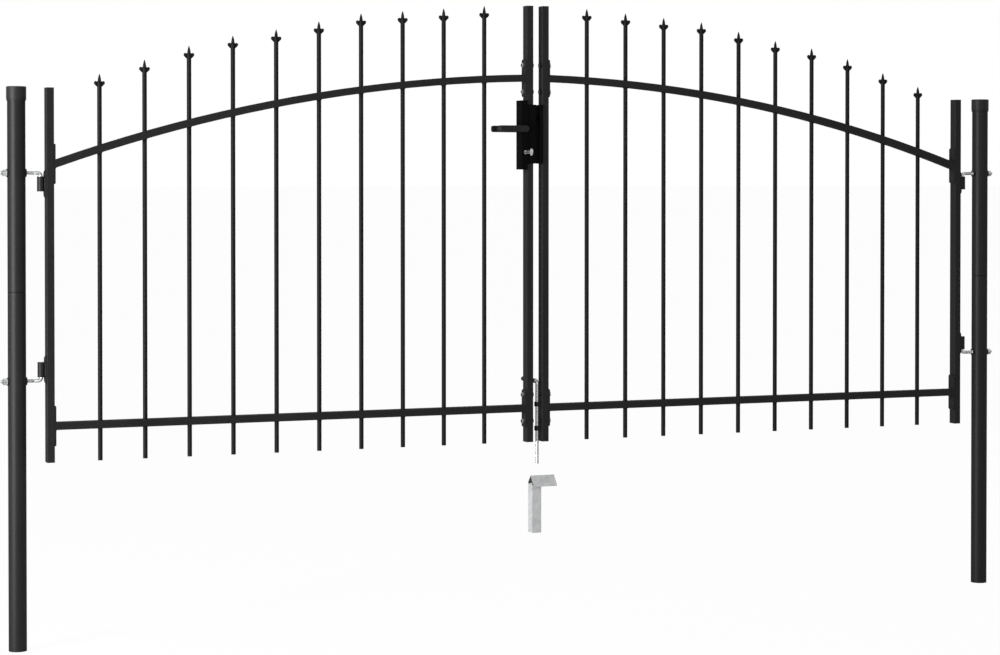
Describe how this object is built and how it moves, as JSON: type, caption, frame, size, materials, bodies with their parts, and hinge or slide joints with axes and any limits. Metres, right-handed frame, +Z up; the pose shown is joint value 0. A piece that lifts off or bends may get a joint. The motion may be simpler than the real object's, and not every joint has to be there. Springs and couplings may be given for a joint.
{
  "type": "double fence gate",
  "caption": "Black steel double fence gate with arched spear-topped leaves hung on round posts, a lever lock, a drop bolt and a ground catch.",
  "frame": {"origin": "centre of the left post's foot, on its flat lower end", "axes": "+X along the gate from the left post to the right post, +Y the way both leaves open, away from the side in the picture, +Z up the posts"},
  "size_m": [3.088, 0.1795, 1.7505],
  "materials": {
    "black_coat": "satin black powder coat",
    "lock_black": "smooth deep black coat",
    "lever_black": "satin black coat on a cast metal lever",
    "black_plastic": "black moulded plastic",
    "zinc": "bright zinc plate",
    "galvanised": "hot-dip galvanised, pale and dull",
    "nickel": "nickel plate"
  },
  "bodies": {
    "posts": {"left_post_lower": "black_coat", "left_post_upper": "black_coat", "left_post_cap": "black_plastic", "left_hinge_bolts": "zinc", "left_hinge_saddles": "black_plastic", "left_hinge_nuts": "zinc", "right_post_lower": "black_coat", "right_post_upper": "black_coat", "right_post_cap": "black_plastic", "right_hinge_bolts": "zinc", "right_hinge_saddles": "black_plastic", "right_hinge_nuts": "zinc", "ground_catch_ramp": "galvanised", "ground_catch_stake": "galvanised"},
    "left_leaf": {"left_outer_stile": "black_coat", "left_inner_stile": "black_coat", "left_top_rail": "black_coat", "left_bottom_rail": "black_coat", "left_bars": "black_coat", "left_spear_tips": "black_coat", "left_rail_flanges": "black_coat", "left_flange_bolts": "zinc", "left_hinge_barrels": "black_coat", "left_stile_plugs": "black_plastic", "lock_case": "lock_black", "lock_forend": "lock_black", "lock_cylinder": "nickel"},
    "right_leaf": {"right_outer_stile": "black_coat", "right_inner_stile": "black_coat", "right_top_rail": "black_coat", "right_bottom_rail": "black_coat", "right_bars": "black_coat", "right_spear_tips": "black_coat", "right_rail_flanges": "black_coat", "right_flange_bolts": "zinc", "right_hinge_barrels": "black_coat", "right_stile_plugs": "black_plastic", "lock_keep": "lock_black", "drop_bolt_guides": "black_coat"},
    "lever": {"front_lever": "lever_black", "back_lever": "lever_black", "lever_spindle": "zinc"},
    "latch": {"latch_bolt": "lock_black"},
    "key": {"key": "nickel", "cylinder_plug": "nickel"},
    "drop_bolt": {"drop_bolt": "zinc", "drop_bolt_grip": "black_plastic"}
  },
  "joints": [
    {"name": "left_leaf_swing", "type": "hinge", "parent": "posts", "child": "left_leaf", "pos_m": [0.065, 0, 0.74], "axis": [0, 0, 1], "range_deg": [0, 90]},
    {"name": "right_leaf_swing", "type": "hinge", "parent": "posts", "child": "right_leaf", "pos_m": [2.935, 0, 0.74], "axis": [0, 0, -1], "range_deg": [0, 90]},
    {"name": "lever_turn", "type": "hinge", "parent": "left_leaf", "child": "lever", "pos_m": [1.4565, 0, 1.39765], "axis": [0, -1, 0], "range_deg": [0, 45], "stiffness_Nm_per_rad": 1.2, "springref_deg": -22.92},
    {"name": "latch_slide", "type": "slide", "parent": "left_leaf", "child": "latch", "axis": [-1, 0, 0], "range_m": [0, 0.012]},
    {"name": "key_turn", "type": "hinge", "parent": "left_leaf", "child": "key", "pos_m": [1.458, 0, 1.33065], "axis": [0, 1, 0], "range_deg": [0, 360]},
    {"name": "drop_bolt_slide", "type": "slide", "parent": "right_leaf", "child": "drop_bolt", "axis": [0, 0, 1], "range_m": [-0.05, 0.08]}
  ],
  "couplings": [
    {"joint": "latch_slide", "follows": "lever_turn", "m_per_rad": 0.0152}
  ]
}
